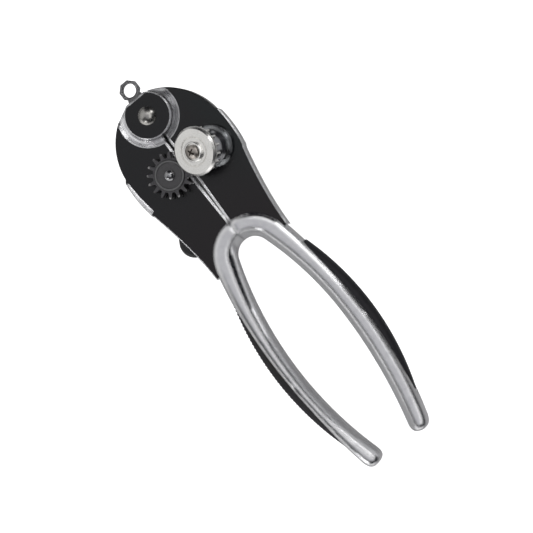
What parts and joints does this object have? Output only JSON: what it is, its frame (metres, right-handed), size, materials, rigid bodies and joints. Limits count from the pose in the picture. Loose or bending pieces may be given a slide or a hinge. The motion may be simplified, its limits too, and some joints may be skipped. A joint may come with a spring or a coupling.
{
  "type": "manual can opener",
  "caption": "Hand can opener with two hinged handles, a toothed feed wheel turned by a rear butterfly knob, and a leaning round cutter.",
  "frame": {"origin": "middle of the hang ring's hole", "axes": "+Z out of the cutting side and along the ring's hole, +Y from the handles to the hang ring, +X toward the half that carries the cutter"},
  "size_m": [0.0533, 0.1929, 0.0403],
  "materials": {
    "chrome_frame": "polished plating on a die casting",
    "black_plate": "gloss black",
    "rivet_steel": "satin",
    "black_rubber": "matt",
    "dark_steel": "blackened, semi-gloss",
    "cutter_steel": "fine satin",
    "black_plastic": "satin"
  },
  "bodies": {
    "left_half": {"left_frame": "chrome_frame", "left_face_plate": "black_plate", "boss_cap": "black_plate", "pivot_rivet": "rivet_steel", "rivet_washer": "rivet_steel", "left_grip": "black_rubber", "shaft_bushing": "dark_steel"},
    "right_half": {"right_frame": "chrome_frame", "right_face_plate": "black_plate", "right_grip": "black_rubber", "cutter_sleeve": "cutter_steel", "cutter_post": "rivet_steel", "cutter_screw": "rivet_steel"},
    "drive": {"drive_shaft": "dark_steel", "feed_wheel": "dark_steel", "feed_hub": "dark_steel", "thrust_washer": "rivet_steel", "knob": "black_plastic", "knob_cap": "chrome_frame"},
    "cutter": {"cutter_gear": "cutter_steel", "cutting_wheel": "cutter_steel", "wheel_hub": "cutter_steel"}
  },
  "joints": [
    {"name": "jaw_pivot", "type": "hinge", "parent": "left_half", "child": "right_half", "pos_m": [0, -0.0136, -0.002], "axis": [0, 0, 1], "range_deg": [0, 14]},
    {"name": "drive_spin", "type": "hinge", "parent": "left_half", "child": "drive", "pos_m": [-0.007, -0.0402, -0.002], "axis": [0, 0, 1], "continuous": true},
    {"name": "cutter_spin", "type": "hinge", "parent": "right_half", "child": "cutter", "pos_m": [0.0136, -0.041, 0.0022], "axis": [-0.3664, 0.0779, 0.9272], "continuous": true}
  ],
  "couplings": [
    {"joint": "cutter_spin", "follows": "drive_spin", "ratio": -1}
  ]
}
